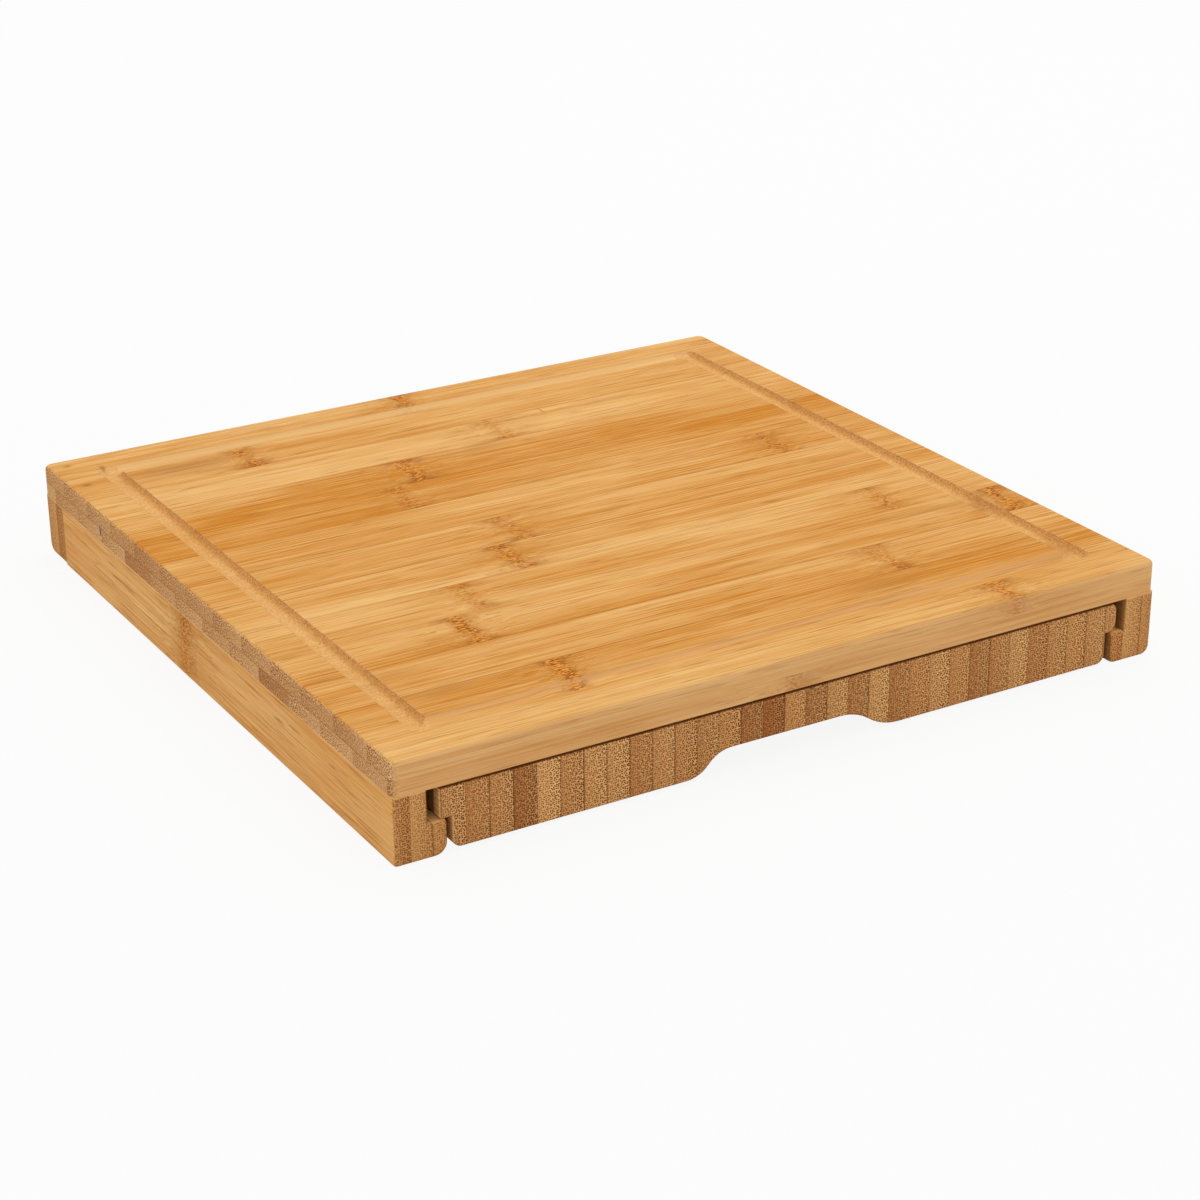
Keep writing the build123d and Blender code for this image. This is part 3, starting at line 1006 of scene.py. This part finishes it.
# %% The drawer's painted side shade and edge shadow
flange_from, flange_to = drawer_high.x - 7.0, drawer_high.x - 6.0
side_shade_from, side_shade_to, back_side_shade = drawer_low.y + 10.0, drawer_low.y + 60.0, 0.4
edge_shadow_height = (drawer_high.z - 0.7, drawer_high.z - 0.2)
edge_shadow_reach = (drawer_low.y + 1.3, drawer_low.y + 0.7)
corner_light_share, edge_shadow_share = 0.8, 0.85

# Painted shade on the flanges' outer sides, fading towards the back, and painted light at their
# front corners.
painted_sides = ramp(tree, maths(tree, "ABSOLUTE", point["X"]), flange_from, flange_to)
painted_sides = times(tree, painted_sides, sideways_share, painted_shade_share)
side_shade = maths(tree, "SUBTRACT", 1.0, corner)
side_shade = times(tree, side_shade, ramp(tree, point["Y"], side_shade_from, side_shade_to, 1.0, back_side_shade))
wood = mix(tree, times(tree, painted_sides, side_shade), wood, painted_shade)
wood = mix(tree, times(tree, painted_sides, corner, corner_light_share), wood, drawer_tints["cut pale"])
# A thin painted shadow along the top of the front, where the drawer runs under the board.
edge_shadow = ramp(tree, point["Z"], *edge_shadow_height)
edge_shadow = times(tree, edge_shadow, ramp(tree, point["Y"], *edge_shadow_reach), edge_shadow_share)
wood = mix(tree, edge_shadow, wood, painted_shade)
finish_wood(drawer_finish, wood, relief, cut_share)
dress(drawer_finish, "drawer")

# %% [markdown]
# ## Screws and magnets
#
# The screws' zinc is dull, with fine turning marks round each shank. The magnets' nickel is
# brighter, with faint scratches. Both are metals, so their colour is the colour of what they
# mirror, and roughness does most of the work.

# %% The metal finishes
worn_share, worn_range = 0.8, (0.4, 0.7)
metal_detail, metal_roughness = 3.0, 0.6
metal_bump, metal_depth = 0.2, 0.00005


def metal_finish(name, tint, least_rough, most_rough, cells):
    """A plated metal whose roughness varies with noise stretched along its marks."""
    material, tree = start_finish(name)
    shader = tree.nodes["Principled BSDF"]
    shader.inputs["Metallic"].default_value = 1.0
    _, grain = grain_place(tree, "X", "Y")
    marks = noise(tree, grain, cells, metal_detail, metal_roughness)
    rough = ramp(tree, marks, *noise_range, least_rough, most_rough)
    feed(tree, shader.inputs["Roughness"], rough)
    worn = tuple(worn_share * part for part in tint[:3]) + (1.0,)
    worn_marks = ramp(tree, marks, *worn_range)
    feed(tree, shader.inputs["Base Color"], mix(tree, worn_marks, tint, worn))
    feeds = {"Strength": metal_bump, "Distance": metal_depth, "Height": marks}
    feed(tree, shader.inputs["Normal"], add(tree, "ShaderNodeBump", feeds).outputs[0])
    print("finish", name, "has", len(tree.nodes), "nodes")
    return material


screw_finish = metal_finish("screw_steel", colour(196, 196, 192), 0.3, 0.5, (0.6, 0.6, 9.0))
magnet_finish = metal_finish("magnet_plating", colour(214, 210, 200), 0.12, 0.28, (0.4, 5.0, 0.4))
dress(screw_finish, "left_rail_screws", "right_rail_screws", "rear_rail_screws")
dress(magnet_finish, "rear_rail_magnets", "drawer_magnets")

# %% [markdown]
# ## Floor and light
#
# The board stands on a plain pale floor in soft studio light: a room that is brightest overhead,
# and one large lamp high up behind its right. The camera sees the room and most of the floor as
# plain white. Light Path tells such a look from light that falls on the board, so the white
# costs no extra light, and the floor keeps a faint shadow.

# %% White for the camera alone
def white_share(tree):
    """1 for a ray from the camera, or one mirrored or let through by a piece, 0 for light."""
    rays = add(tree, "ShaderNodeLightPath").outputs
    mirrored = maths(tree, "MAXIMUM", rays["Is Glossy Ray"], rays["Is Transmission Ray"])
    return maths(tree, "MAXIMUM", rays["Is Camera Ray"], mirrored)


full_white = (1.0, 1.0, 1.0, 1.0)
print("helper: white_share")

# %% [markdown]
# One large square is floor enough. It lies a tenth of a millimetre below the rails' feet, or
# the two faces would fight for the same place in a view from below.

# %% The floor
floor_half = 3.0
floor_drop = 0.0001
floor_white = 0.9
floor_grey = (0.8, 0.8, 0.8, 1.0)
floor_roughness = 0.9

turns = ((-1, -1), (1, -1), (1, 1), (-1, 1))
corners = [(x * floor_half, y * floor_half, -floor_drop) for x, y in turns]
floor_mesh = bpy.data.meshes.new("floor")
floor_mesh.from_pydata(corners, [], [(0, 1, 2, 3)])
floor = bpy.data.objects.new("floor", floor_mesh)
bpy.context.scene.collection.objects.link(floor)

floor_finish, tree = start_finish("floor_white")
shader = tree.nodes["Principled BSDF"]
shader.inputs["Base Color"].default_value = floor_grey
shader.inputs["Roughness"].default_value = floor_roughness
white = add(tree, "ShaderNodeEmission", {"Color": full_white, "Strength": 1.0})
share = times(tree, white_share(tree), floor_white)
blend = add(tree, "ShaderNodeMixShader", {0: share, 1: shader.outputs[0], 2: white.outputs[0]})
feed(tree, tree.nodes["Material Output"].inputs["Surface"], blend.outputs[0])
floor_mesh.materials.append(floor_finish)
print("the floor is", 2 * floor_half, "m wide")

# %% [markdown]
# The room's light comes from everywhere, a little more from above, which gives the soft,
# nearly shadowless look of a product photograph.

# %% The room
light_ahead = 0.6
light_above = 1.02

world = bpy.data.worlds.new("room")
bpy.context.scene.world = world
world.use_nodes = True
tree = world.node_tree
background = tree.nodes["Background"]
background.inputs["Color"].default_value = full_white
direction = add(tree, "ShaderNodeTexCoord").outputs["Generated"]
height = add(tree, "ShaderNodeSeparateXYZ", {0: direction}).outputs["Z"]
light = ramp(tree, height, 0.0, 1.0, light_ahead, light_above, smooth=False)
strength = ramp(tree, white_share(tree), 0.0, 1.0, light, 1.0, smooth=False)
feed(tree, background.inputs["Strength"], strength)
print("the room's light grows from", light_ahead, "ahead to", light_above, "above")

# %% [markdown]
# The lamp is a wide disc, so its shadows have no hard edge. It makes the top the brightest
# face and leaves the drawer's front in the shade, as in the picture.

# %% The lamp
lamp_size = 1.6
lamp_watts = 5.0
lamp_place = (0.7, 0.6, 1.5)

lamp_data = bpy.data.lights.new("lamp", "AREA")
lamp_data.shape = "DISK"
lamp_data.size = lamp_size
lamp_data.energy = lamp_watts
lamp = bpy.data.objects.new("lamp", lamp_data)
lamp.location = lamp_place
lamp.rotation_euler = (-lamp.location).to_track_quat("-Z", "Y").to_euler()
bpy.context.scene.collection.objects.link(lamp)
bpy.context.scene.view_settings.view_transform = "Standard"
print("the lamp stands", round(lamp.location.length, 2), "m away")

# %% [markdown]
# Last, the pieces and the shared patterns are counted. Nothing here moves or reshapes a piece,
# so each keeps the size that came in, and the floor is a stage, not one of the pieces.

# %% Count the pieces, and finish
print(len(nodes), "pieces are dressed in", len(bpy.data.node_groups), "shared patterns")
